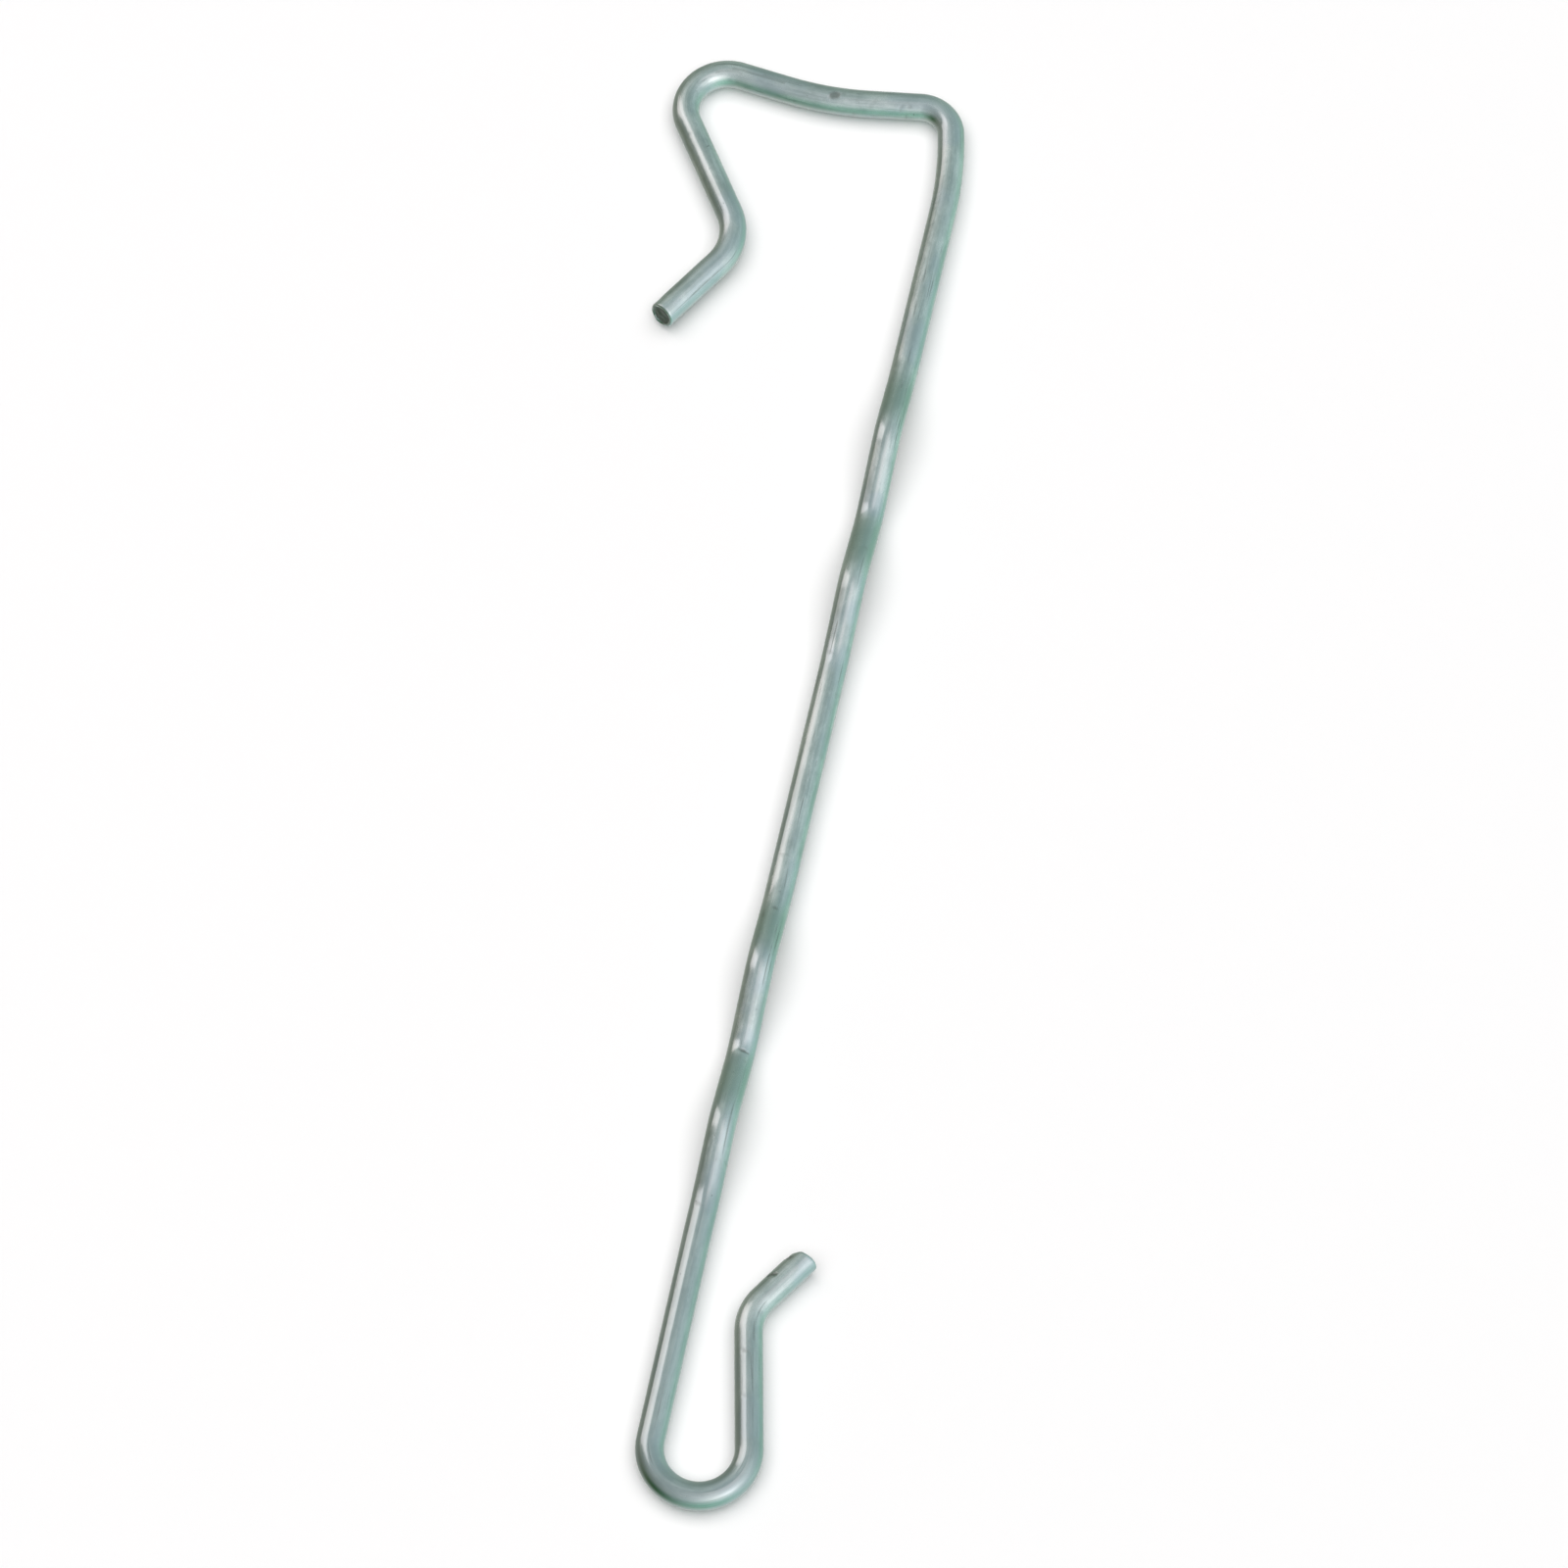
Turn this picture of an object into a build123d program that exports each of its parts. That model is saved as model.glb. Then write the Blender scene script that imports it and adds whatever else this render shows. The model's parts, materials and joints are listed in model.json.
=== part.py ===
from build123d import *
import os
from math import acos, atan2, cos, degrees, radians, tan

# Slate hook for fixing a roof slate to a batten: one length of round galvanised
# steel wire, bent cold and never joined. It lies on its side, as it comes to rest.
# The shank runs along Y with the batten clip at its +Y end and the slate seat at
# its -Y end, and +Z is up. Millimetres and degrees. Radii are to the wire's centre.

wire_diameter = 2.7

# shank: straight wire with two groups of waves that stop rain creeping along it
upper_run = 19.1         # from the neck to the first group
middle_run = 26.7        # between the groups
set_run = 3.0            # from the second group to a slight sideways set
lower_run = 20.5         # from the set to the seat
climb = 6.9              # the slopes of one group, each measured along the shank
dip_descent = 8.8
dip_climb = 7.6
descent = 7.6
crest_height = 1.9       # above the straight wire's level, before the bends are rounded
valley_depth = 0.5       # below it, between the two crests of a group
shoulder_radius = 13.5   # level wire into the climb, and out of the descent
crest_radius = 5.0
valley_radius = 5.0
shank_set_radius = 60.0
shank_set_angle = 0.6

# batten clip: bent over at the top, sprung back under the batten, tip flared
clip_drop_angle = 1.5    # the clip leans down out of the shank's level
neck_radius = 40.0
neck_angle = 13.1
corner_radius = 3.2
corner_angle = 85.6
crossing_inner_run = 5.1
crossing_kink_radius = 32.0
crossing_kink_angle = 15.3
crossing_outer_run = 4.83
batten_bend_radius = 4.2
batten_bend_angle = 130.7
return_leg = 11.0
lead_in_radius = 5.6
lead_in_angle = 65.0
lead_in_tip = 8.35

# seat: the U that carries the lower edge of the slate, with its flared tip
seat_radius = 4.6
seat_angle = 192.2
short_leg = 11.35
flare_radius = 4.6
flare_angle = 45.6
flare_tip = 5.95

# both ends are sheared off askew, seen along the wire towards its end: the slant
# leaves the right side longer, the lean the under side, and the rim is rolled over
clip_cut_slant = 3.0
clip_cut_lean = 10.0
clip_rim_round = 0.15
seat_cut_slant = 11.5
seat_cut_lean = -7.0
seat_rim_round = 0.3

# one group of waves: how far along it each turn stands, and how high
wave_turns = (
    (0, 0),
    (climb, crest_height),
    (climb + dip_descent, -valley_depth),
    (climb + dip_descent + dip_climb, crest_height),
    (climb + dip_descent + dip_climb + descent, 0),
)
wave_radii = (shoulder_radius, crest_radius, valley_radius, crest_radius, shoulder_radius)
group_length = wave_turns[-1][0]

# the shank, drawn in its own upright plane, from the neck down to the sideways set
neck_drop = upper_run * tan(radians(clip_drop_angle))
first_group_at = upper_run
second_group_at = first_group_at + group_length + middle_run
shank_set_at = second_group_at + group_length + set_run
shank_points = [(0, -neck_drop)]
shank_radii = []
for group_at in (first_group_at, second_group_at):
    for along, height in wave_turns:
        shank_points.append((-group_at - along, height))
    shank_radii += wave_radii
shank_points.append((-shank_set_at, 0))

with BuildLine(Plane.YZ) as shank_line:
    FilletPolyline(*shank_points, radius=shank_radii)

# the batten clip, drawn from the neck outwards in a plane that leans with it
neck = Vector(0, 0, -neck_drop)
clip_plane = Plane(origin=neck, x_dir=(1, 0, 0), z_dir=(0, tan(radians(clip_drop_angle)), 1))
with BuildLine(clip_plane) as clip_line:
    neck_bend = JernArc((0, 0), (0, 1), neck_radius, neck_angle)
    corner = JernArc(neck_bend @ 1, neck_bend % 1, corner_radius, corner_angle)
    inner = PolarLine(corner @ 1, crossing_inner_run, direction=corner % 1)
    kink = JernArc(inner @ 1, inner % 1, crossing_kink_radius, -crossing_kink_angle)
    outer = PolarLine(kink @ 1, crossing_outer_run, direction=kink % 1)
    batten_bend = JernArc(outer @ 1, outer % 1, batten_bend_radius, batten_bend_angle)
    leg = PolarLine(batten_bend @ 1, return_leg, direction=batten_bend % 1)
    lead_in = JernArc(leg @ 1, leg % 1, lead_in_radius, -lead_in_angle)
    clip_tip = PolarLine(lead_in @ 1, lead_in_tip, direction=lead_in % 1)

# the seat, drawn on the level of the shank's straight wire
with BuildLine() as seat_line:
    shank_set = JernArc((0, -shank_set_at), (0, -1), shank_set_radius, shank_set_angle)
    shank_end = PolarLine(shank_set @ 1, lower_run, direction=shank_set % 1)
    seat = JernArc(shank_end @ 1, shank_end % 1, seat_radius, seat_angle)
    upright = PolarLine(seat @ 1, short_leg, direction=seat % 1)
    flare = JernArc(upright @ 1, upright % 1, flare_radius, -flare_angle)
    seat_tip = PolarLine(flare @ 1, flare_tip, direction=flare % 1)

# the wire itself: one round section drawn along the whole bent centre line
with BuildPart() as bent_wire:
    with BuildLine():
        add(clip_line.edges())
        add(shank_line.edges())
        add(seat_line.edges())
    with BuildSketch(Plane(origin=clip_tip @ 1, z_dir=clip_tip % 1)):
        Circle(wire_diameter / 2)
    sweep()

    for tip, slant, lean, rim_round in (
        (clip_tip, clip_cut_slant, clip_cut_lean, clip_rim_round),
        (seat_tip, seat_cut_slant, seat_cut_lean, seat_rim_round),
    ):
        square_end = Plane(origin=tip @ 1, x_dir=(0, 0, 1), z_dir=tip % 1)
        cut_angle = acos(cos(radians(slant)) * cos(radians(lean)))
        set_back = wire_diameter / 2 * tan(cut_angle)
        with Locations(square_end.offset(-set_back) * Rotation(slant, lean, 0)):
            Box(
                2 * wire_diameter,
                2 * wire_diameter,
                wire_diameter,
                align=(Align.CENTER, Align.CENTER, Align.MIN),
                mode=Mode.SUBTRACT,
            )
        fillet(bent_wire.edges().sort_by_distance(tip @ 1)[0], radius=rim_round)

# laid down, the hook tips a little until it rests on the clip's crossing and the seat
crossing_rest = outer @ 1
seat_rest = seat @ 0.5
rest_tilt = degrees(
    atan2(seat_rest.Z - crossing_rest.Z, crossing_rest.Y - seat_rest.Y)
)
with BuildPart() as tipped_wire:
    with Locations(Rotation(rest_tilt, 0, 0)):
        add(bent_wire.part)

# the finished hook stands on its lowest points, with the origin under its middle
extent = tipped_wire.part.bounding_box()
middle = extent.center()
with BuildPart() as hook_wire:
    with Locations((-middle.X, -middle.Y, -extent.min.Z)):
        add(tipped_wire.part)

hook_wire.part.label = "hook_wire"
os.makedirs("parts", exist_ok=True)
export_step(hook_wire.part, "parts/hook_wire.step")
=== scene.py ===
import json
import random
from math import acos, atan2, ceil, cos, degrees, radians, sin, tan
import bpy
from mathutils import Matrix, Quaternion, Vector

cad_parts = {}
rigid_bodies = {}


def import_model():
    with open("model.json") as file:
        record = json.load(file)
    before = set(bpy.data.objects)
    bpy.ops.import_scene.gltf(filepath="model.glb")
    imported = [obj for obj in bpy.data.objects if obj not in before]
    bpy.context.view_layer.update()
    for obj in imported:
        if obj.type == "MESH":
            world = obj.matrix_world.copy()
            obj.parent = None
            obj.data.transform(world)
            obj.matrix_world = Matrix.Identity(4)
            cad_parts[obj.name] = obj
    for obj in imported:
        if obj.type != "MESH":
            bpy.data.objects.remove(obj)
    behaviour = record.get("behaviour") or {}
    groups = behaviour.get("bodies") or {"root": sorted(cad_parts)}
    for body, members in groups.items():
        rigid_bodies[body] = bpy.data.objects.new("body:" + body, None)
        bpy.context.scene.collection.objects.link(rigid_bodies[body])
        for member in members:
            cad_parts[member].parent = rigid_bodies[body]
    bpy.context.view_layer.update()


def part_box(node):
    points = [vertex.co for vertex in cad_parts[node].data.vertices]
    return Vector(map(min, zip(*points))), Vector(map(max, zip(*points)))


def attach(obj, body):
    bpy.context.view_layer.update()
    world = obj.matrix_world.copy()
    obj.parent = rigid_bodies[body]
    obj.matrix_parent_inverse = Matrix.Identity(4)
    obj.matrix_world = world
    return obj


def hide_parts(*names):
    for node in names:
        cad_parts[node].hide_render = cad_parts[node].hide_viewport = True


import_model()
mm = 0.001
up = Vector((0, 0, 1))
across = Vector((1, 0, 0))
print("frame loaded")


def deselectAll():
    for thing in bpy.context.selected_objects:
        thing.select_set(False)
    bpy.context.view_layer.objects.active = None


def pickOnly(thing):
    deselectAll()
    thing.select_set(True)
    bpy.context.view_layer.objects.active = thing


# the wire's route, from the batten clip's tip to the seat's tip, in millimetres and
# degrees: radii are to the wire's centre, and turns to the left are positive

clip = dict(
    lean=1.5,           # down out of the shank's level
    tip=8.35,
    leadInRadius=5.6, leadInTurn=65.0,
    leg=11.0,
    battenRadius=4.2, battenTurn=-130.7,
    outerRun=4.83,
    kinkRadius=32.0, kinkTurn=15.3,
    innerRun=5.1,
    cornerRadius=3.2, cornerTurn=-85.6,
    neckRadius=40.0, neckTurn=-13.1,
)
shank = dict(
    upperRun=19.1,      # straight wire before, between and after the two groups of waves
    middleRun=26.7,
    setRun=3.0,
    climb=6.9,          # the slopes of a group, each measured along the shank
    dipDescent=8.8,
    dipClimb=7.6,
    descent=7.6,
    crestHeight=1.9,    # from the straight wire's level, before the bends are rounded
    valleyDepth=0.5,
    shoulderRadius=13.5, crestRadius=5.0, valleyRadius=5.0,
    setRadius=60.0, setTurn=0.6,    # a slight sideways set
    lowerRun=20.5,
)
waveBends = ("shoulder", "crest", "valley", "crest", "shoulder")
seat = dict(
    radius=4.6, turn=192.2,
    shortLeg=11.35,
    flareRadius=4.6, flareTurn=-45.6,
    tip=5.86,
)
centreLineSteps = 24    # straight steps between two knots of the bent line
widestPart = 30         # degrees that a bend turns at most between two knots

# what is laid so far, with three points for each knot: reach in, knot and reach out
route = dict(at=Vector(), heading=Vector(), knots=[], length=0.0, restsOn=[])


def startRoute(heading):
    route["heading"] = heading
    route["knots"].append([Vector(), Vector(), Vector()])


def addKnot(reachOut, newPlace, reachIn):
    route["knots"][-1][2] = route["at"] + reachOut
    route["at"] = newPlace
    route["knots"].append([newPlace + reachIn, newPlace, newPlace])


def run(length):
    step = route["heading"] * length * mm
    addKnot(step / 3, route["at"] + step, -step / 3)
    route["length"] += length


def bend(radius, turn, axis):
    parts = ceil(abs(turn) / widestPart)
    part = radians(turn) / parts
    side = axis.cross(route["heading"]).normalized() * (1 if turn > 0 else -1)
    centre = route["at"] + side * radius * mm
    reach = 4 / 3 * tan(abs(part) / 4) * radius * mm
    for _ in range(parts):
        swing = Quaternion(axis, part)
        oldHeading = route["heading"].copy()
        route["heading"] = swing @ oldHeading
        newPlace = centre + swing @ (route["at"] - centre)
        addKnot(oldHeading * reach, newPlace, -route["heading"] * reach)
    route["length"] += abs(radians(turn)) * radius


def layClip():
    leaning = Quaternion(across, -radians(clip["lean"]))
    clipUp = leaning @ up
    turns = ("leadInTurn", "battenTurn", "kinkTurn", "cornerTurn", "neckTurn")
    wholeTurn = sum(clip[turn] for turn in turns)
    # the tip heads so that all the turns together bring the wire down the shank
    startRoute(Quaternion(clipUp, -radians(wholeTurn)) @ leaning @ Vector((0, -1, 0)))
    run(clip["tip"])
    bend(clip["leadInRadius"], clip["leadInTurn"], clipUp)
    run(clip["leg"])
    bend(clip["battenRadius"], clip["battenTurn"], clipUp)
    route["restsOn"].append(route["at"].copy())
    run(clip["outerRun"])
    bend(clip["kinkRadius"], clip["kinkTurn"], clipUp)
    run(clip["innerRun"])
    bend(clip["cornerRadius"], clip["cornerTurn"], clipUp)
    bend(clip["neckRadius"], clip["neckTurn"], clipUp)


def layShank():
    # the waves turn at these places, each so far along the shank and so high
    wave = [(0, 0)]
    for slope, height in (
        ("climb", shank["crestHeight"]),
        ("dipDescent", -shank["valleyDepth"]),
        ("dipClimb", shank["crestHeight"]),
        ("descent", 0),
    ):
        wave.append((wave[-1][0] + shank[slope], height))
    groupLength = wave[-1][0]
    secondGroup = shank["upperRun"] + groupLength + shank["middleRun"]
    places = [Vector((0, -shank["upperRun"] * tan(radians(clip["lean"]))))]
    for start in (shank["upperRun"], secondGroup):
        places += [Vector((start + along, height)) for along, height in wave]
    places.append(Vector((secondGroup + groupLength + shank["setRun"], 0)))
    radii = [shank[name + "Radius"] for name in waveBends] * 2
    slopes = [after - before for before, after in zip(places, places[1:])]
    used = 0
    turnedAt = []
    for slope, nextSlope, radius in zip(slopes, slopes[1:], radii):
        turn = atan2(slope.y, slope.x) - atan2(nextSlope.y, nextSlope.x)
        cornerLength = radius * tan(abs(turn) / 2)
        run(slope.length - used - cornerLength)
        turnedAt.append(route["length"] + abs(turn) * radius / 2)
        bend(radius, degrees(turn), across)
        used = cornerLength
    run(slopes[-1].length - used)
    bend(shank["setRadius"], shank["setTurn"], up)
    run(shank["lowerRun"])
    return turnedAt


def laySeat():
    bend(seat["radius"], seat["turn"] / 2, up)
    route["restsOn"].append(route["at"].copy())
    bend(seat["radius"], seat["turn"] / 2, up)
    run(seat["shortLeg"])
    bend(seat["flareRadius"], seat["flareTurn"], up)
    run(seat["tip"])


def makeCentreLine():
    line = bpy.data.curves.new("centreLine", "CURVE")
    line.dimensions = "3D"
    line.twist_mode = "Z_UP"
    line.resolution_u = centreLineSteps
    line.render_resolution_u = centreLineSteps
    spline = line.splines.new("BEZIER")
    spline.bezier_points.add(len(route["knots"]) - 1)
    for point, (reachIn, place, reachOut) in zip(spline.bezier_points, route["knots"]):
        point.handle_left_type = "FREE"
        point.handle_right_type = "FREE"
        point.co = place
        point.handle_left = reachIn
        point.handle_right = reachOut
    centreLine = bpy.data.objects.new("centreLine", line)
    bpy.context.collection.objects.link(centreLine)
    return centreLine


layClip()
turningMarks = layShank()
laySeat()
print("route laid, wire length", round(route["length"], 2), "mm")

# the straight wire is cut to length before it is bent, in millimetres and degrees

wire = dict(
    diameter=2.694,
    facets=64,              # round the wire
    longCuts=33,            # the long stretch is cut so many times, and each part again
    endStretch=2.4,         # left at each end for the shears
    endCuts=9,
    shortestEdge=0.2,       # an edge longer than this along the wire is cut for a ring
    rimSegments=4,
)
# seen along the wire towards its end, the slant leaves the right side longer and
# the lean the under side
shearedEnds = dict(
    clipTip=dict(slant=3.0, lean=10.0, rimRound=0.15, lip=0.14, hollow=0.08, rolled=0.06, seed=5),
    seatTip=dict(slant=11.5, lean=-7.0, rimRound=0.25, lip=0.08, hollow=0.04, rolled=0.22, seed=8),
)
# the torn face: all of it is shaken a little, then lumps and hollows are pushed into it
torn = dict(
    shaken=0.01, shakenOutwards=0.8, shakenSeed=3,
    lumps=14,
    lumpHeights=(-0.06, 0.036),
    lumpCore=0.14,          # this near its middle a lump moves the whole way
    lumpSizes=(0.25, 0.55),
)
# the rolled edge: the skin to the left of the wire's middle, near the end, is pushed back
rolledEdge = dict(
    side=1.1,
    back=1.2,
    pulledIn=0.5,           # and so much inwards for each step back
    size=0.9,
)
# marks that the bending dies and other hooks left: how far along the wire and how far
# round it to the left of its top, how the mark lies against the wire, and its size
marks = (
    dict(along=45.1, round=-5, lies=15, length=0.4, width=0.5, depth=0.08),
    dict(along=37.2, round=-4, lies=0, length=5.5, width=0.16, depth=0.022),
    dict(along=39.6, round=9, lies=1, length=4.0, width=0.15, depth=0.016),
    dict(along=34.0, round=-16, lies=-1, length=3.0, width=0.15, depth=0.014),
    dict(along=118.9, round=-24, lies=84, length=0.8, width=0.22, depth=0.014),
    dict(along=140.8, round=-14, lies=88, length=1.5, width=0.2, depth=0.012),
    dict(along=146.9, round=4, lies=40, length=0.22, width=0.24, depth=0.03),
    dict(along=161.8, round=14, lies=80, length=0.9, width=0.22, depth=0.05),
    dict(along=178.1, round=-20, lies=80, length=0.7, width=0.22, depth=0.016),
    dict(along=221.4, round=18, lies=60, length=0.3, width=0.25, depth=0.012),
    dict(along=225.8, round=15, lies=75, length=0.5, width=0.24, depth=0.022),
    dict(along=233.7, round=42, lies=-50, length=0.8, width=0.26, depth=0.09),
    dict(along=233.4, round=24, lies=-50, length=0.3, width=0.22, depth=-0.03),
)
markCore = 0.13             # skin this near a mark's line is pushed in the whole way
scuffs = dict(
    number=40, seed=11,
    clearOfEnds=3,
    longest=1.2,
    widest=0.35, narrowestShare=0.6,
    deepest=0.016, shallowestShare=0.4,
)
hair = 0.01                 # what is nearer than this counts as the same place


def inEditMode(operator, **settings):
    bpy.ops.object.mode_set(mode="EDIT")
    operator(**settings)
    bpy.ops.object.mode_set(mode="OBJECT")


def pushSkin(shift, falloff, size):
    # what is selected moves the whole way, and the skin round it follows
    inEditMode(
        bpy.ops.transform.translate, value=shift, use_proportional_edit=True,
        proportional_edit_falloff=falloff, proportional_size=size * mm)


def selectNothing(mesh):
    for part in (mesh.vertices, mesh.edges, mesh.polygons):
        part.foreach_set("select", [False] * len(part))


def selectVertices(mesh, wanted):
    selectNothing(mesh)
    for vertex in mesh.vertices:
        vertex.select = wanted(vertex.co)


def selectEdges(mesh, wanted):
    selectNothing(mesh)
    for edge in mesh.edges:
        edge.select = wanted(*(mesh.vertices[i].co for i in edge.vertices))


def selectEndFace(mesh, way):
    selectNothing(mesh)
    for face in mesh.polygons:
        face.select = len(face.vertices) == wire["facets"] and face.normal.x * way > 0


def cutAcross(place, normal, clear=False):
    bpy.ops.object.mode_set(mode="EDIT")
    bpy.ops.mesh.select_all(action="SELECT")
    bpy.ops.mesh.bisect(
        plane_co=place, plane_no=normal, clear_outer=clear, use_fill=clear, threshold=hair / 10 * mm)
    bpy.ops.object.mode_set(mode="OBJECT")


def addRings(thing, start, end, cuts):
    def lengthwise(a, b):
        long = abs(a.x - b.x) > wire["shortestEdge"] * mm
        return long and min(a.x, b.x) > start and max(a.x, b.x) < end

    selectEdges(thing.data, lengthwise)
    inEditMode(bpy.ops.mesh.subdivide, number_cuts=cuts)


def roundRim(thing, outward, rimRound):
    rim = max(vertex.co.dot(outward) for vertex in thing.data.vertices)

    def onRim(a, b):
        return all(abs(point.dot(outward) - rim) < hair * mm for point in (a, b))

    selectEdges(thing.data, onRim)
    inEditMode(bpy.ops.mesh.bevel, offset=rimRound * mm, segments=wire["rimSegments"], affect="EDGES")


def tearEndFace(thing, way, shear):
    # the blade leaves a lip of zinc round a slightly hollow face of bare steel
    bpy.context.tool_settings.mesh_select_mode = (False, False, True)
    selectEndFace(thing.data, way)
    bpy.ops.object.mode_set(mode="EDIT")
    bpy.ops.mesh.inset(thickness=shear["lip"] * mm, depth=0)
    bpy.ops.mesh.inset(thickness=shear["hollow"] * mm, depth=-shear["hollow"] * mm)
    # the face is closed again as a grid, so that there is skin enough to tear
    bpy.ops.mesh.delete(type="ONLY_FACE")
    bpy.ops.mesh.select_mode(type="EDGE")
    bpy.ops.mesh.select_all(action="DESELECT")
    bpy.ops.mesh.select_non_manifold()
    bpy.ops.mesh.fill_grid(span=wire["facets"] // 4)
    bpy.ops.mesh.select_mode(type="VERT")
    bpy.ops.mesh.subdivide(number_cuts=1)
    bpy.ops.mesh.select_less()
    bpy.ops.transform.vertex_random(
        offset=torn["shaken"] * mm, normal=torn["shakenOutwards"], seed=torn["shakenSeed"])
    bpy.ops.object.mode_set(mode="OBJECT")
    bpy.context.tool_settings.mesh_select_mode = (True, False, False)
    return [vertex.co.copy() for vertex in thing.data.vertices if vertex.select]


def raiseLumps(thing, way, tornPlaces, seed):
    chance = random.Random(seed)
    for _ in range(torn["lumps"]):
        spot = chance.choice(tornPlaces)
        height = way * chance.uniform(*torn["lumpHeights"]) * mm
        size = chance.uniform(*torn["lumpSizes"])
        selectVertices(thing.data, lambda place: (place - spot).length < torn["lumpCore"] * mm)
        pushSkin((height, 0, 0), "SPHERE", size)


def rollEdge(thing, way, rolled):
    # the blade rolls the edge over on the side where it comes down
    furthest = max(vertex.co.x * way for vertex in thing.data.vertices)

    def underBlade(place):
        return place.x * way > furthest - rolledEdge["back"] * mm and place.y > rolledEdge["side"] * mm

    selectVertices(thing.data, underBlade)
    back = Vector((-way, -rolledEdge["pulledIn"], 0))
    pushSkin(back * rolled * mm, "SMOOTH", rolledEdge["size"])


def pressMark(thing, mark):
    # the skin on the mark's line is pushed in, and what lies round it follows
    angle = radians(mark["round"])
    lies = radians(mark["lies"])
    outwards = Vector((0, sin(angle), cos(angle)))
    sideways = Vector((0, cos(angle), -sin(angle)))
    line = across * cos(lies) + sideways * sin(lies)
    middle = Vector((mark["along"] * mm, 0, 0)) + outwards * wire["diameter"] / 2 * mm
    half = mark["length"] / 2 * mm
    near = markCore * mm

    def onMark(place):
        if abs(place.x - middle.x) > half + near:
            return False
        reach = place - middle
        along = reach.dot(line)
        return abs(along) < half + near / 2 and (reach - line * along).length < near

    selectVertices(thing.data, onMark)
    pushSkin(-outwards * mark["depth"] * mm, "SMOOTH", mark["width"])


def scatterScuffs(thing):
    chance = random.Random(scuffs["seed"])
    for _ in range(scuffs["number"]):
        pressMark(thing, dict(
            along=chance.uniform(scuffs["clearOfEnds"], route["length"] - scuffs["clearOfEnds"]),
            round=chance.uniform(-180, 180),
            lies=chance.uniform(-90, 90),
            length=scuffs["longest"] * chance.random() ** 2,
            width=scuffs["widest"] * chance.uniform(scuffs["narrowestShare"], 1),
            depth=scuffs["deepest"] * chance.uniform(scuffs["shallowestShare"], 1),
        ))


def makeStraightWire():
    deselectAll()
    length = route["length"] * mm
    radius = wire["diameter"] / 2 * mm
    bpy.ops.mesh.primitive_cylinder_add(
        vertices=wire["facets"], radius=radius, depth=length, end_fill_type="NGON",
        location=(length / 2, 0, 0), rotation=(0, radians(90), 0))
    straight = bpy.context.object
    straight.name = "hookWire"
    straight.data.name = "hookWire"
    bpy.ops.object.transform_apply(location=True, rotation=True, scale=True)
    bpy.context.tool_settings.mesh_select_mode = (False, True, False)
    stretch = wire["endStretch"] * mm
    cutAcross((stretch, 0, 0), across)
    cutAcross((length - stretch, 0, 0), across)
    ends = ((0, -1, shearedEnds["clipTip"]), (length, 1, shearedEnds["seatTip"]))
    for end, way, shear in ends:
        slant = radians(shear["slant"])
        lean = radians(shear["lean"])
        outward = Vector((way * cos(slant) * cos(lean), way * sin(slant) * cos(lean), sin(lean)))
        setBack = radius * tan(acos(cos(slant) * cos(lean)))
        cutAcross((end - way * setBack, 0, 0), outward, clear=True)
        roundRim(straight, outward, shear["rimRound"])
    slack = hair * mm
    for _ in range(2):              # the second time each part is cut again
        addRings(straight, stretch - slack, length - stretch + slack, wire["longCuts"])
    addRings(straight, slack, stretch + slack, wire["endCuts"])
    addRings(straight, length - stretch - slack, length, wire["endCuts"])
    for _, way, shear in ends:
        tornPlaces = tearEndFace(straight, way, shear)
        raiseLumps(straight, way, tornPlaces, shear["seed"])
        rollEdge(straight, way, shear["rolled"])
    for mark in marks:
        pressMark(straight, mark)
    scatterScuffs(straight)
    return straight


hookWire = makeStraightWire()
print("straight wire made,", len(hookWire.data.vertices), "vertices")

# the marks and the zinc are laid out on the straight wire, and then it is bent along
# its route and laid where the frame has it

pressedLook = dict(
    clearOfEnds=1.2,        # the rolled rims are no marks
    shadedFullyAt=0.05,           # a mark this deep gets the full painted shade
)
paintedClimbShadeLook = dict(
    climbStarts=(0, 2, 5, 7),   # the shank's bends that a climb starts at
    fade=2.6,                   # a patch of painted shade fades out over this length
)
bareLook = dict(
    back=0.9,               # the torn face lies this near the end
    lipShare=1.1,           # the lip, and a little of the slope within it, keeps its zinc
)
sharpOver = 40              # degrees: an edge that turns more than this stays sharp


def rememberStraightPlace(thing):
    places = [0.0] * (3 * len(thing.data.vertices))
    thing.data.vertices.foreach_get("co", places)
    straightPlace = thing.data.attributes.new("straightPlace", "FLOAT_VECTOR", "POINT")
    straightPlace.data.foreach_set("vector", places)


def markPressed(thing):
    # how deep the skin lies below the round wire's, which sets the shade painted into the dents
    pressed = thing.data.attributes.new("pressed", "FLOAT", "POINT")
    clear = pressedLook["clearOfEnds"]
    for vertex in thing.data.vertices:
        depth = wire["diameter"] / 2 - vertex.co.yz.length / mm
        if clear < vertex.co.x / mm < route["length"] - clear:
            pressed.data[vertex.index].value = min(max(depth / pressedLook["shadedFullyAt"], 0), 1)


def paintClimbShade(thing):
    # painted shade: every climb of the waves is painted darker and greener
    paintedClimbShade = thing.data.attributes.new("paintedClimbShade", "FLOAT", "POINT")
    for first in paintedClimbShadeLook["climbStarts"]:
        start, end = turningMarks[first], turningMarks[first + 1]
        for vertex in thing.data.vertices:
            inside = min(vertex.co.x / mm - start, end - vertex.co.x / mm) / paintedClimbShadeLook["fade"]
            if inside > 0:
                paintedClimbShade.data[vertex.index].value = min(inside, 1)


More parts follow.
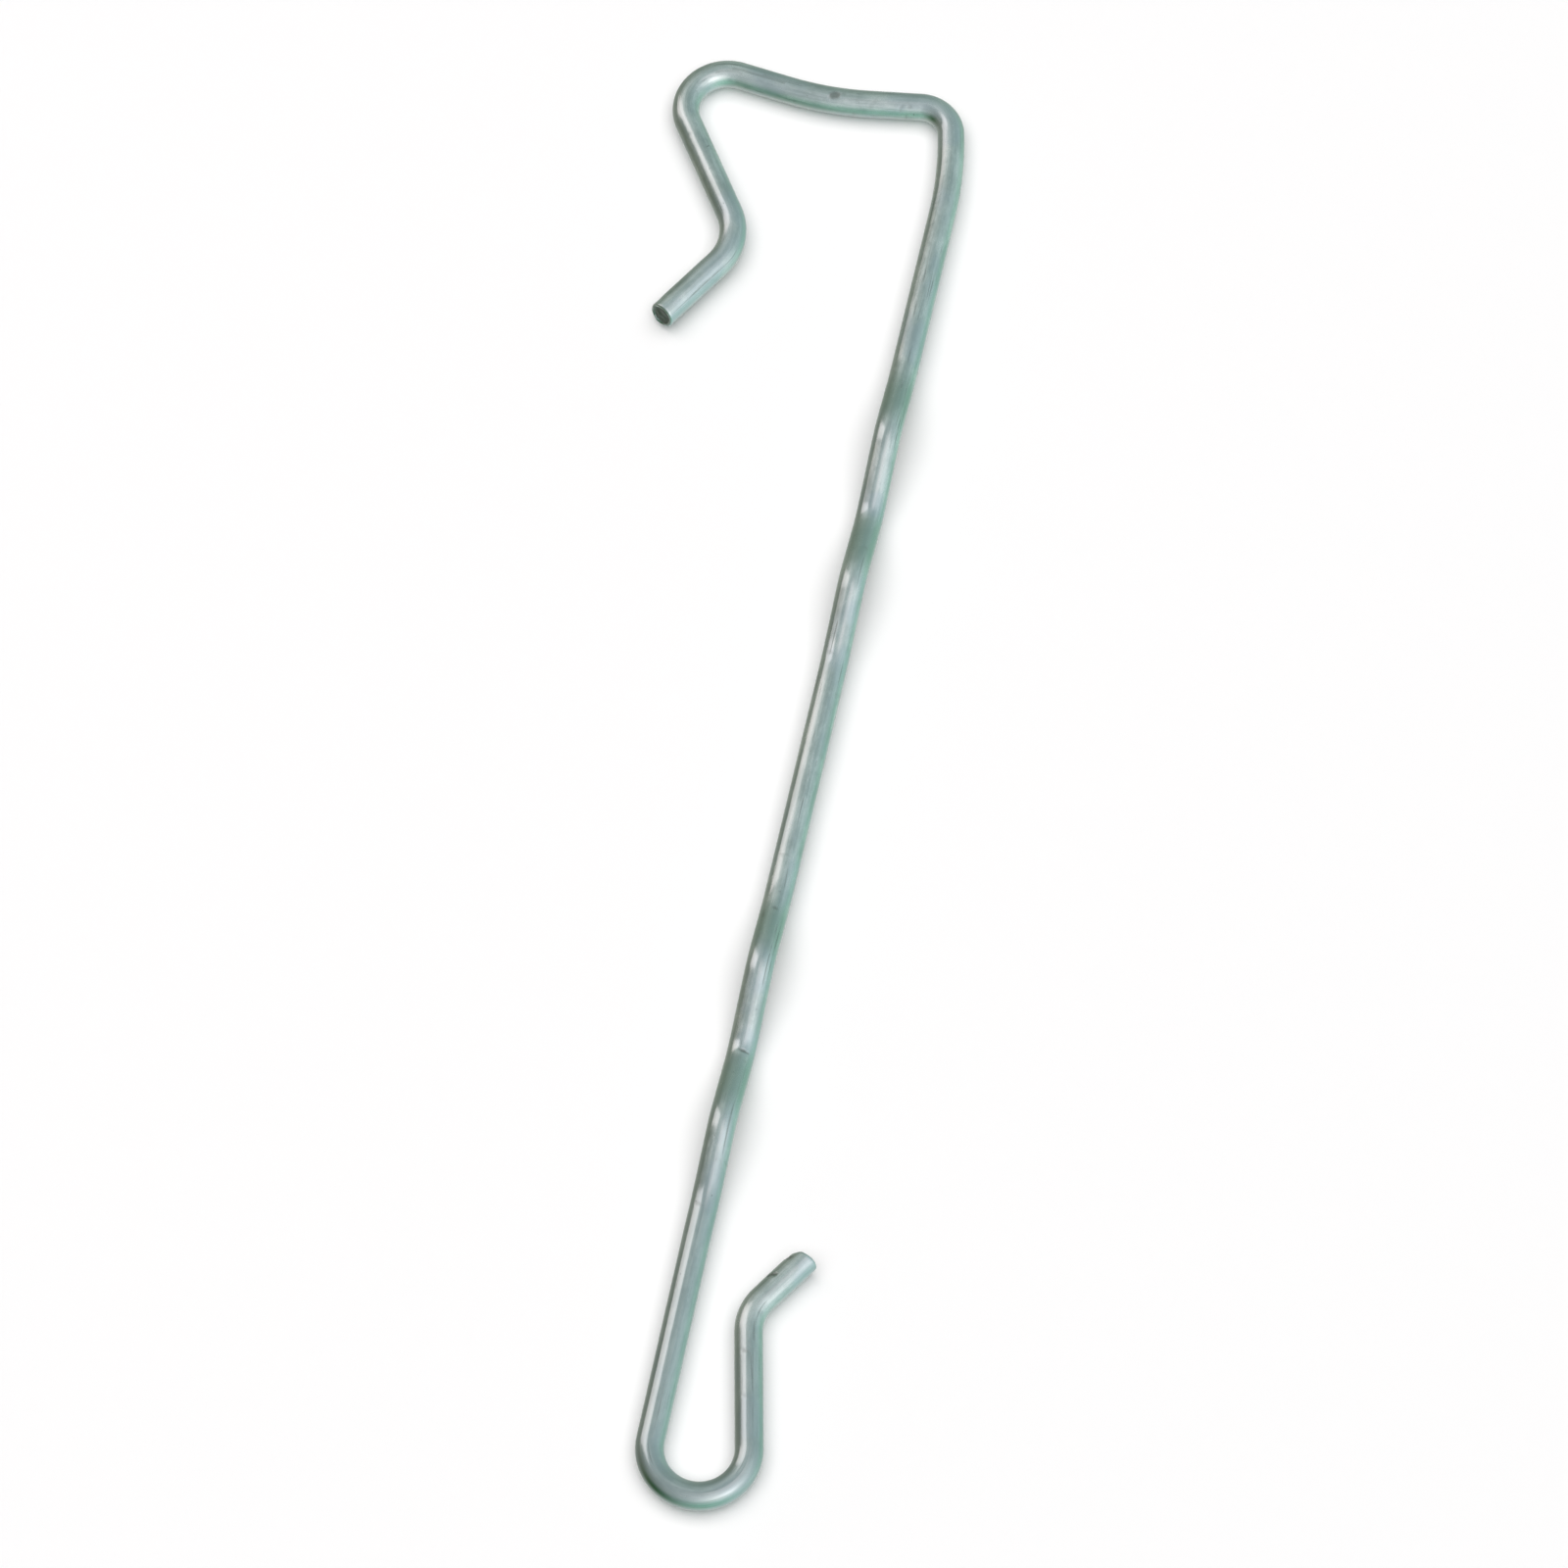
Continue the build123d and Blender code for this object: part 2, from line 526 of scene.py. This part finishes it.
def markBareSteel(thing):
    # the torn faces, within the zinc's lip at each end
    bare = thing.data.attributes.new("bareSteel", "FLOAT", "POINT")
    length = route["length"] * mm
    for end, shear in ((0, shearedEnds["clipTip"]), (length, shearedEnds["seatTip"])):
        within = (wire["diameter"] / 2 - shear["rimRound"] - shear["lip"] * bareLook["lipShare"]) * mm
        for vertex in thing.data.vertices:
            if abs(vertex.co.x - end) < bareLook["back"] * mm and vertex.co.yz.length < within:
                bare.data[vertex.index].value = 1


def bendAlong(thing, centreLine):
    pickOnly(thing)
    bending = thing.modifiers.new("bending", "CURVE")
    bending.object = centreLine
    bending.deform_axis = "POS_X"
    bpy.ops.object.modifier_apply(modifier=bending.name)


def ownBox(thing):
    places = [vertex.co for vertex in thing.data.vertices]
    return [[pick(place[i] for place in places) for i in range(3)] for pick in (min, max)]


def middleOf(box):
    return (Vector(box[0]) + Vector(box[1])) / 2


def layDown(thing):
    # laid down, the hook tips a little until it rests on the clip's crossing and the seat
    pickOnly(thing)
    crossing, foot = route["restsOn"]
    thing.rotation_euler.x = atan2(foot.z - crossing.z, crossing.y - foot.y)
    bpy.ops.object.transform_apply(location=True, rotation=True, scale=True)
    thing.location = middleOf(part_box("hook_wire")) - middleOf(ownBox(thing))
    bpy.ops.object.transform_apply(location=True, rotation=True, scale=True)
    bpy.ops.object.shade_smooth_by_angle(angle=radians(sharpOver))


rememberStraightPlace(hookWire)
markPressed(hookWire)
paintClimbShade(hookWire)
markBareSteel(hookWire)
centreLine = makeCentreLine()
bendAlong(hookWire, centreLine)
bpy.data.objects.remove(centreLine)
layDown(hookWire)
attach(hookWire, "root")
hookWire.visible_glossy = False     # no limb is mirrored in another
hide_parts("hook_wire")
print("wire bent and laid down")


class Flow:
    # wraps one socket, so that sums on it add the nodes that work them out

    def __init__(self, socket):
        self.socket = socket

    def add(self, kind, settings=None, sockets=None, output=0):
        tree = self.socket.id_data
        node = tree.nodes.new(kind)
        for name, value in (settings or {}).items():
            setattr(node, name, value)
        for name, value in (sockets or {}).items():
            if isinstance(value, Flow):
                tree.links.new(value.socket, node.inputs[name])
            else:
                node.inputs[name].default_value = value
        return Flow(node.outputs[output])

    def into(self, socket):
        self.socket.id_data.links.new(self.socket, socket)

    def maths(self, operation, first, second=0.0):
        return self.add("ShaderNodeMath", {"operation": operation}, {0: first, 1: second})

    def __add__(self, other):
        return self.maths("ADD", self, other)

    def __radd__(self, other):
        return self.maths("ADD", other, self)

    def __sub__(self, other):
        return self.maths("SUBTRACT", self, other)

    def __rsub__(self, other):
        return self.maths("SUBTRACT", other, self)

    def __mul__(self, other):
        return self.maths("MULTIPLY", self, other)

    def __rmul__(self, other):
        return self.maths("MULTIPLY", other, self)

    def limited(self, low, high):
        return self.add("ShaderNodeMapRange", {"interpolation_type": "SMOOTHSTEP"}, {
            "Value": self, "From Min": low, "From Max": high})

    def exponent(self):
        return self.maths("EXPONENT", self)

    def along(self, way):
        return self.add("ShaderNodeVectorMath", {"operation": "DOT_PRODUCT"}, {0: self, 1: way}, "Value")

    def stretched(self, sizes):
        return self.add("ShaderNodeVectorMath", {"operation": "MULTIPLY"}, {0: self, 1: sizes})

    def coloured(self, colour):
        return self.add("ShaderNodeVectorMath", {"operation": "SCALE"}, {0: colour, "Scale": self})

    def joined(self, other):
        return self.add("ShaderNodeVectorMath", {"operation": "ADD"}, {0: self, 1: other})

    def atLeast(self, colour):
        return self.add("ShaderNodeVectorMath", {"operation": "MAXIMUM"}, {0: self, 1: colour})

    def between(self, first, second):
        return self.add("ShaderNodeMix", {"data_type": "RGBA"}, {"Factor": self, 6: first, 7: second}, 2)


# the zinc coat: cool grey, drawn into streaks along the wire, and mottled, with shade painted on the
# waves' climbs, in the dents and towards the seat

zincLook = dict(
    dark=(0.43, 0.49, 0.495, 1), pale=(0.62, 0.675, 0.685, 1), between=(0.37, 0.63),
    tone=dict(patches=0.50, streaks=0.32, grain=0.12, fineGrain=0.06),
    blue=dict(colour=(0.46, 0.53, 0.58, 1), share=0.5, between=(0.46, 0.62)),
    # painted shade: the zinc is painted darker towards the seat, where its reflections look dimmer, so
    # many millimetres along the wire
    paintedSeatShade=dict(colour=(0.35, 0.41, 0.43, 1), share=0.5, starts=170, ends=232, fade=8),
    # painted shade on the waves' climbs: darker, greener zinc
    paintedClimbShade=dict(colour=(0.35, 0.45, 0.42, 1), share=0.7),
    drawn=dict(
        colour=(0.28, 0.32, 0.32, 1), share=0.8,
        between=(0.58, 0.70), patchesBetween=(0.45, 0.60)),
    specks=dict(colour=(0.20, 0.23, 0.23, 1), share=0.7, between=(0.71, 0.79)),
    # painted shade in the dents, darker in deeper ones
    paintedDentShade=dict(colour=(0.16, 0.18, 0.17, 1), share=0.7),
    smooth=0.16, dull=0.30, dullBetween=(0.38, 0.66),
    dullness=dict(patches=0.40, streaks=0.35, grain=0.25),
    # how much rougher each of these leaves the coat, and how high it stands in millimetres
    rougher=dict(specks=0.15, drawn=0.06, pressed=0.15, paintedSeatShade=-0.05),
    heights=dict(waves=0.006, streaks=0.005, grain=0.0008, specks=-0.006, drawn=-0.003),
)
steelLook = dict(colour=(0.20, 0.215, 0.21, 1), rougher=0.26, grainHeight=0.012)
# each pattern's size across the wire in millimetres, and how much longer it is along it
patterns = dict(
    patches=dict(size=1.5, stretch=2.0, detail=4.0),
    bluePatches=dict(size=2.8, stretch=1.6, detail=2.0),
    streaks=dict(size=0.30, stretch=20.0, detail=3.0),
    drawn=dict(size=0.30, stretch=30.0, detail=2.0),
    grain=dict(size=0.34, stretch=1.6, detail=2.0),
    fineGrain=dict(size=0.11, stretch=1.3, detail=1.0),
    waves=dict(size=2.6, stretch=1.2, detail=1.0),      # the coat's slight unevenness
    specks=dict(size=0.50, stretch=1.3, detail=3.0),
    tornGrain=dict(size=0.12, stretch=1.0, detail=3.0),
)


def makeZinc():
    zinc = bpy.data.materials.new("zincCoatedWire")
    zinc.use_nodes = True
    shader = zinc.node_tree.nodes["Principled BSDF"]
    start = Flow(shader.outputs[0])

    def painted(name, output):
        return start.add("ShaderNodeAttribute", {"attribute_name": name}, output=output)

    place = painted("straightPlace", "Vector")

    def cloud(size, stretch, detail):
        scaled = place.stretched((1 / stretch / size / mm, 1 / size / mm, 1 / size / mm))
        return scaled.add("ShaderNodeTexNoise", {}, {"Vector": scaled, "Scale": 1.0, "Detail": detail})

    layers = {name: cloud(**pattern) for name, pattern in patterns.items()}

    def summed(shares):
        return sum(layers[name] * share for name, share in shares.items())

    def coated(colour, name, layer):
        return (layer * zincLook[name]["share"]).between(colour, zincLook[name]["colour"])

    steel = painted("bareSteel", "Fac")
    paintedClimbShade = painted("paintedClimbShade", "Fac")
    layers["pressed"] = painted("pressed", "Fac")
    layers["specks"] = layers["specks"].limited(*zincLook["specks"]["between"])
    drawnPatches = layers["patches"].limited(*zincLook["drawn"]["patchesBetween"])
    layers["drawn"] = layers["drawn"].limited(*zincLook["drawn"]["between"]) * drawnPatches
    along = place.add("ShaderNodeSeparateXYZ", {}, {"Vector": place}, "X")
    starts, ends, fade = (zincLook["paintedSeatShade"][name] * mm for name in ("starts", "ends", "fade"))
    layers["paintedSeatShade"] = along.limited(starts, starts + fade) * (1 - along.limited(ends - fade, ends))

    tone = summed(zincLook["tone"]).limited(*zincLook["between"])
    colour = tone.between(zincLook["dark"], zincLook["pale"])
    colour = coated(colour, "blue", layers["bluePatches"].limited(*zincLook["blue"]["between"]))
    # painted shade towards the seat
    colour = coated(colour, "paintedSeatShade", layers["paintedSeatShade"])
    # painted shade on the waves' climbs
    colour = coated(colour, "paintedClimbShade", paintedClimbShade)
    colour = coated(colour, "drawn", layers["drawn"])
    colour = coated(colour, "specks", layers["specks"])
    # painted shade in the dents
    colour = coated(colour, "paintedDentShade", layers["pressed"])
    steel.between(colour, steelLook["colour"]).into(shader.inputs["Base Color"])

    dullness = summed(zincLook["dullness"]).limited(*zincLook["dullBetween"])
    roughness = dullness * (zincLook["dull"] - zincLook["smooth"]) + zincLook["smooth"]
    roughness = roughness + summed(zincLook["rougher"]) + steel * steelLook["rougher"]
    roughness.into(shader.inputs["Roughness"])

    height = summed(zincLook["heights"]) + layers["tornGrain"] * steelLook["grainHeight"] * steel
    bump = height.add("ShaderNodeBump", {}, {"Strength": 1.0, "Distance": mm, "Height": height})
    bump.into(shader.inputs["Normal"])
    shader.inputs["Metallic"].default_value = 1.0
    return zinc


hookWire.data.materials.append(makeZinc())
print("zinc coat ready")

# studio: pale floor, soft light from a room, and the camera looking down at the hook

viewing = dict(
    aim=(6.795, -2.328, 2.45),      # millimetres
    turn=12.419,                    # round from straight along the shank
    elevation=65.73,
    distance=696.2,
    lens=166.5, sensor=36.0,
    nearest=0.05,
)
studio = dict(
    floorWidth=6.0,
    floorColour=(0.9, 0.9, 0.9, 1), floorRoughness=0.9,
    backdrop=(0.95, 0.95, 0.95, 1),
    # what the wire reflects: the room's colour, its change towards +X, +Y and up, and
    # broad glows and shades on top of it
    roomColour=(0.59, 0.65, 0.63),
    roomChange=dict(x=(0.23, 0.28, 0.31), y=(-0.18, -0.15, -0.18), z=(-0.13, -0.10, -0.09)),
    roomDarkest=(0.03, 0.03, 0.03),
    glows=(
        dict(azimuth=320, elevation=38, tightness=7.5, colour=(0.98, 0.82, 0.80)),
        dict(azimuth=324, elevation=37, tightness=55, colour=(0.45, 0.41, 0.41)),
        dict(azimuth=227, elevation=-14, tightness=5.6, colour=(-0.48, -0.41, -0.46)),
        dict(azimuth=143, elevation=49, tightness=7.7, colour=(0.46, 0.43, 0.43)),
        dict(azimuth=1, elevation=76, tightness=30, colour=(0.42, 0.32, 0.32)),
        dict(azimuth=296, elevation=-14, tightness=4, colour=(-0.46, -0.19, -0.35)),
        dict(azimuth=27, elevation=-21, tightness=6, colour=(-0.22, -0.08, -0.18)),
    ),
    key=dict(
        azimuth=160.5, elevation=35.5, away=2.0,
        width=0.85, height=2.0, power=4.2, colour=(1.0, 0.83, 0.83)),
    overhead=dict(
        azimuth=0, elevation=90, away=2.5,
        width=4.0, height=4.0, power=120.0, colour=(1.0, 1.0, 1.0)),
)


def pointing(azimuth, elevation):
    level = cos(radians(elevation))
    return Vector((cos(radians(azimuth)) * level, sin(radians(azimuth)) * level, sin(radians(elevation))))


def makeCamera():
    aim = Vector(viewing["aim"]) * mm
    seeing = bpy.data.cameras.new("camera")
    seeing.lens = viewing["lens"]
    seeing.sensor_width = viewing["sensor"]
    seeing.clip_start = viewing["nearest"]
    camera = bpy.data.objects.new("camera", seeing)
    bpy.context.collection.objects.link(camera)
    backwards = pointing(viewing["turn"] - 90, viewing["elevation"])
    camera.location = aim + backwards * viewing["distance"] * mm
    camera.rotation_euler = (aim - camera.location).to_track_quat("-Z", "Y").to_euler()
    bpy.context.scene.camera = camera


def makeLight(name, fitting):
    shining = bpy.data.lights.new(name, "AREA")
    shining.shape = "RECTANGLE"
    shining.size = fitting["width"]
    shining.size_y = fitting["height"]
    shining.energy = fitting["power"]
    shining.color = fitting["colour"]
    light = bpy.data.objects.new(name, shining)
    bpy.context.collection.objects.link(light)
    light.location = pointing(fitting["azimuth"], fitting["elevation"]) * fitting["away"]
    light.rotation_euler = (-light.location).to_track_quat("-Z", "Y").to_euler()
    return light


def makeRoom():
    room = bpy.data.worlds.new("studioRoom")
    room.use_nodes = True
    background = room.node_tree.nodes["Background"]
    start = Flow(background.outputs[0])
    way = start.add("ShaderNodeTexCoord", output="Generated")
    change = studio["roomChange"]
    colour = way.along((1, 0, 0)).coloured(change["x"]).joined(studio["roomColour"])
    colour = colour.joined(way.along((0, 1, 0)).coloured(change["y"]))
    colour = colour.joined(way.along((0, 0, 1)).coloured(change["z"]))
    for glow in studio["glows"]:
        centre = pointing(glow["azimuth"], glow["elevation"])
        spread = ((way.along(centre) - 1) * glow["tightness"]).exponent()
        colour = colour.joined(spread.coloured(glow["colour"]))
    colour = colour.atLeast(studio["roomDarkest"])
    seen = start.add("ShaderNodeLightPath", output="Is Camera Ray")
    seen.between(colour, studio["backdrop"]).into(background.inputs["Color"])
    room.cycles_visibility.diffuse = False      # the floor is lit by the lights alone
    bpy.context.scene.world = room


def makeFloor():
    deselectAll()
    bpy.ops.mesh.primitive_plane_add(size=studio["floorWidth"])
    floor = bpy.context.object
    floor.name = "floor"
    paint = bpy.data.materials.new("paleFloor")
    paint.use_nodes = True
    shader = paint.node_tree.nodes["Principled BSDF"]
    shader.inputs["Base Color"].default_value = studio["floorColour"]
    shader.inputs["Roughness"].default_value = studio["floorRoughness"]
    shader.inputs["Specular IOR Level"].default_value = 0.0
    floor.data.materials.append(paint)
    floor.visible_glossy = False                # and the wire does not reflect it


makeCamera()
makeFloor()
makeRoom()
makeLight("keyWindow", studio["key"])
overhead = makeLight("floorLight", studio["overhead"])
overhead.visible_glossy = False
bpy.context.scene.view_settings.view_transform = "Standard"
print("studio ready")
